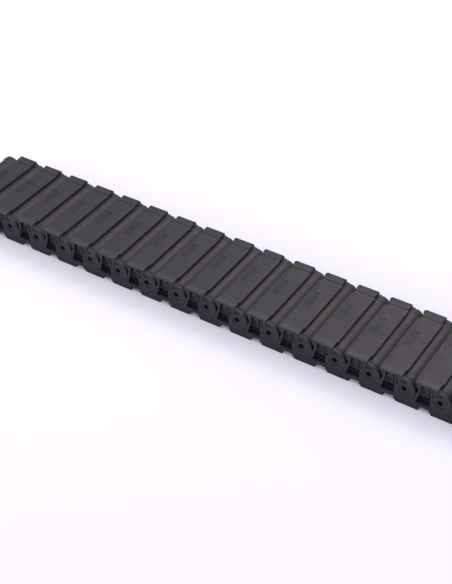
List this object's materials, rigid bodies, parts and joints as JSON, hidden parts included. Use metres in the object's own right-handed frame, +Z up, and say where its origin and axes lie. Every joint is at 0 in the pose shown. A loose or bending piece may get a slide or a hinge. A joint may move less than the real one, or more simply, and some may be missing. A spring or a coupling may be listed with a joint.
{
  "type": "cable drag chain",
  "caption": "Straight length of enclosed plastic cable drag chain: box-section links hinged end to end, each with a snap lid that swings open along its far edge.",
  "frame": {"origin": "centre of the chain's footprint, on the surface that the skirts rest on", "axes": "+X along the chain towards the end with free outer ears, -Y towards the side on which the lids snap shut, +Z up through the lids"},
  "size_m": [0.8124, 0.121, 0.0441],
  "materials": {
    "plate_nylon": "moulded matte",
    "wall_nylon": "moulded matte",
    "lid_nylon": "moulded fine texture"
  },
  "bodies": {
    "link_01": {"side_plates_01": "plate_nylon", "cross_walls_01": "wall_nylon"},
    "cover_01": {"lid_01": "lid_nylon"},
    "link_02": {"side_plates_02": "plate_nylon", "cross_walls_02": "wall_nylon"},
    "cover_02": {"lid_02": "lid_nylon"},
    "link_03": {"side_plates_03": "plate_nylon", "cross_walls_03": "wall_nylon"},
    "cover_03": {"lid_03": "lid_nylon"},
    "link_04": {"side_plates_04": "plate_nylon", "cross_walls_04": "wall_nylon"},
    "cover_04": {"lid_04": "lid_nylon"},
    "link_05": {"side_plates_05": "plate_nylon", "cross_walls_05": "wall_nylon"},
    "cover_05": {"lid_05": "lid_nylon"},
    "link_06": {"side_plates_06": "plate_nylon", "cross_walls_06": "wall_nylon"},
    "cover_06": {"lid_06": "lid_nylon"},
    "link_07": {"side_plates_07": "plate_nylon", "cross_walls_07": "wall_nylon"},
    "cover_07": {"lid_07": "lid_nylon"},
    "link_08": {"side_plates_08": "plate_nylon", "cross_walls_08": "wall_nylon"},
    "cover_08": {"lid_08": "lid_nylon"},
    "link_09": {"side_plates_09": "plate_nylon", "cross_walls_09": "wall_nylon"},
    "cover_09": {"lid_09": "lid_nylon"},
    "link_10": {"side_plates_10": "plate_nylon", "cross_walls_10": "wall_nylon"},
    "cover_10": {"lid_10": "lid_nylon"},
    "link_11": {"side_plates_11": "plate_nylon", "cross_walls_11": "wall_nylon"},
    "cover_11": {"lid_11": "lid_nylon"},
    "link_12": {"side_plates_12": "plate_nylon", "cross_walls_12": "wall_nylon"},
    "cover_12": {"lid_12": "lid_nylon"},
    "link_13": {"side_plates_13": "plate_nylon", "cross_walls_13": "wall_nylon"},
    "cover_13": {"lid_13": "lid_nylon"},
    "link_14": {"side_plates_14": "plate_nylon", "cross_walls_14": "wall_nylon"},
    "cover_14": {"lid_14": "lid_nylon"},
    "link_15": {"side_plates_15": "plate_nylon", "cross_walls_15": "wall_nylon"},
    "cover_15": {"lid_15": "lid_nylon"},
    "link_16": {"side_plates_16": "plate_nylon", "cross_walls_16": "wall_nylon"},
    "cover_16": {"lid_16": "lid_nylon"},
    "link_17": {"side_plates_17": "plate_nylon", "cross_walls_17": "wall_nylon"},
    "cover_17": {"lid_17": "lid_nylon"}
  },
  "joints": [
    {"name": "bend_01", "type": "hinge", "parent": "link_01", "child": "link_02", "pos_m": [-0.34475, 0, 0.0242], "axis": [0, -1, 0], "range_deg": [0, 17.64]},
    {"name": "bend_02", "type": "hinge", "parent": "link_02", "child": "link_03", "pos_m": [-0.29875, 0, 0.0242], "axis": [0, -1, 0], "range_deg": [0, 17.64]},
    {"name": "bend_03", "type": "hinge", "parent": "link_03", "child": "link_04", "pos_m": [-0.25275, 0, 0.0242], "axis": [0, -1, 0], "range_deg": [0, 17.64]},
    {"name": "bend_04", "type": "hinge", "parent": "link_04", "child": "link_05", "pos_m": [-0.20675, 0, 0.0242], "axis": [0, -1, 0], "range_deg": [0, 17.64]},
    {"name": "bend_05", "type": "hinge", "parent": "link_05", "child": "link_06", "pos_m": [-0.16075, 0, 0.0242], "axis": [0, -1, 0], "range_deg": [0, 17.64]},
    {"name": "bend_06", "type": "hinge", "parent": "link_06", "child": "link_07", "pos_m": [-0.11475, 0, 0.0242], "axis": [0, -1, 0], "range_deg": [0, 17.64]},
    {"name": "bend_07", "type": "hinge", "parent": "link_07", "child": "link_08", "pos_m": [-0.06875, 0, 0.0242], "axis": [0, -1, 0], "range_deg": [0, 17.64]},
    {"name": "bend_08", "type": "hinge", "parent": "link_08", "child": "link_09", "pos_m": [-0.02275, 0, 0.0242], "axis": [0, -1, 0], "range_deg": [0, 17.64]},
    {"name": "bend_09", "type": "hinge", "parent": "link_09", "child": "link_10", "pos_m": [0.02325, 0, 0.0242], "axis": [0, -1, 0], "range_deg": [0, 17.64]},
    {"name": "bend_10", "type": "hinge", "parent": "link_10", "child": "link_11", "pos_m": [0.06925, 0, 0.0242], "axis": [0, -1, 0], "range_deg": [0, 17.64]},
    {"name": "bend_11", "type": "hinge", "parent": "link_11", "child": "link_12", "pos_m": [0.11525, 0, 0.0242], "axis": [0, -1, 0], "range_deg": [0, 17.64]},
    {"name": "bend_12", "type": "hinge", "parent": "link_12", "child": "link_13", "pos_m": [0.16125, 0, 0.0242], "axis": [0, -1, 0], "range_deg": [0, 17.64]},
    {"name": "bend_13", "type": "hinge", "parent": "link_13", "child": "link_14", "pos_m": [0.20725, 0, 0.0242], "axis": [0, -1, 0], "range_deg": [0, 17.64]},
    {"name": "bend_14", "type": "hinge", "parent": "link_14", "child": "link_15", "pos_m": [0.25325, 0, 0.0242], "axis": [0, -1, 0], "range_deg": [0, 17.64]},
    {"name": "bend_15", "type": "hinge", "parent": "link_15", "child": "link_16", "pos_m": [0.29925, 0, 0.0242], "axis": [0, -1, 0], "range_deg": [0, 17.64]},
    {"name": "bend_16", "type": "hinge", "parent": "link_16", "child": "link_17", "pos_m": [0.34525, 0, 0.0242], "axis": [0, -1, 0], "range_deg": [0, 17.64]},
    {"name": "lid_swing_01", "type": "hinge", "parent": "link_01", "child": "cover_01", "pos_m": [-0.36075, 0.0585, 0.0421], "axis": [-1, 0, 0], "range_deg": [0, 170]},
    {"name": "lid_swing_02", "type": "hinge", "parent": "link_02", "child": "cover_02", "pos_m": [-0.31475, 0.0585, 0.0421], "axis": [-1, 0, 0], "range_deg": [0, 170]},
    {"name": "lid_swing_03", "type": "hinge", "parent": "link_03", "child": "cover_03", "pos_m": [-0.26875, 0.0585, 0.0421], "axis": [-1, 0, 0], "range_deg": [0, 170]},
    {"name": "lid_swing_04", "type": "hinge", "parent": "link_04", "child": "cover_04", "pos_m": [-0.22275, 0.0585, 0.0421], "axis": [-1, 0, 0], "range_deg": [0, 170]},
    {"name": "lid_swing_05", "type": "hinge", "parent": "link_05", "child": "cover_05", "pos_m": [-0.17675, 0.0585, 0.0421], "axis": [-1, 0, 0], "range_deg": [0, 170]},
    {"name": "lid_swing_06", "type": "hinge", "parent": "link_06", "child": "cover_06", "pos_m": [-0.13075, 0.0585, 0.0421], "axis": [-1, 0, 0], "range_deg": [0, 170]},
    {"name": "lid_swing_07", "type": "hinge", "parent": "link_07", "child": "cover_07", "pos_m": [-0.08475, 0.0585, 0.0421], "axis": [-1, 0, 0], "range_deg": [0, 170]},
    {"name": "lid_swing_08", "type": "hinge", "parent": "link_08", "child": "cover_08", "pos_m": [-0.03875, 0.0585, 0.0421], "axis": [-1, 0, 0], "range_deg": [0, 170]},
    {"name": "lid_swing_09", "type": "hinge", "parent": "link_09", "child": "cover_09", "pos_m": [0.00725, 0.0585, 0.0421], "axis": [-1, 0, 0], "range_deg": [0, 170]},
    {"name": "lid_swing_10", "type": "hinge", "parent": "link_10", "child": "cover_10", "pos_m": [0.05325, 0.0585, 0.0421], "axis": [-1, 0, 0], "range_deg": [0, 170]},
    {"name": "lid_swing_11", "type": "hinge", "parent": "link_11", "child": "cover_11", "pos_m": [0.09925, 0.0585, 0.0421], "axis": [-1, 0, 0], "range_deg": [0, 170]},
    {"name": "lid_swing_12", "type": "hinge", "parent": "link_12", "child": "cover_12", "pos_m": [0.14525, 0.0585, 0.0421], "axis": [-1, 0, 0], "range_deg": [0, 170]},
    {"name": "lid_swing_13", "type": "hinge", "parent": "link_13", "child": "cover_13", "pos_m": [0.19125, 0.0585, 0.0421], "axis": [-1, 0, 0], "range_deg": [0, 170]},
    {"name": "lid_swing_14", "type": "hinge", "parent": "link_14", "child": "cover_14", "pos_m": [0.23725, 0.0585, 0.0421], "axis": [-1, 0, 0], "range_deg": [0, 170]},
    {"name": "lid_swing_15", "type": "hinge", "parent": "link_15", "child": "cover_15", "pos_m": [0.28325, 0.0585, 0.0421], "axis": [-1, 0, 0], "range_deg": [0, 170]},
    {"name": "lid_swing_16", "type": "hinge", "parent": "link_16", "child": "cover_16", "pos_m": [0.32925, 0.0585, 0.0421], "axis": [-1, 0, 0], "range_deg": [0, 170]},
    {"name": "lid_swing_17", "type": "hinge", "parent": "link_17", "child": "cover_17", "pos_m": [0.37525, 0.0585, 0.0421], "axis": [-1, 0, 0], "range_deg": [0, 170]}
  ]
}
